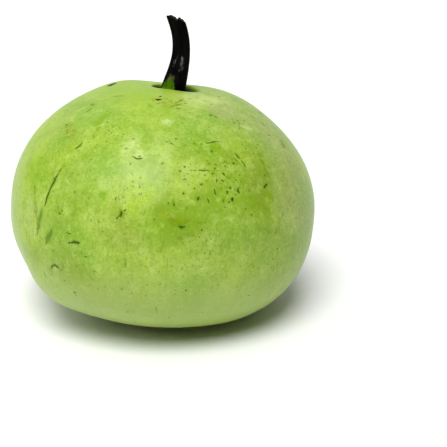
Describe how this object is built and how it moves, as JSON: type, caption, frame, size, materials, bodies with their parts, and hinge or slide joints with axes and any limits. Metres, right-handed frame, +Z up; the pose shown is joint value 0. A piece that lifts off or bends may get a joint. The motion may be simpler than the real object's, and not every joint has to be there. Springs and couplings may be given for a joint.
{
  "type": "apple gourd",
  "caption": "Whole squat round green gourd with a sunken crown, a dried dark stem standing in it, and a small flattened spot it rests on.",
  "frame": {"origin": "centre of the flattened spot the fruit rests on", "axes": "+Z up from the table; the crown leans a few degrees towards +X; the front faces -Y"},
  "size_m": [0.1901, 0.1905, 0.186],
  "materials": {
    "rind": "waxy semi-gloss rind, yellow-green",
    "dried_stem": "dried, fibrous, nearly black"
  },
  "bodies": {
    "root": {"fruit": "rind", "stem": "dried_stem"}
  },
  "joints": []
}
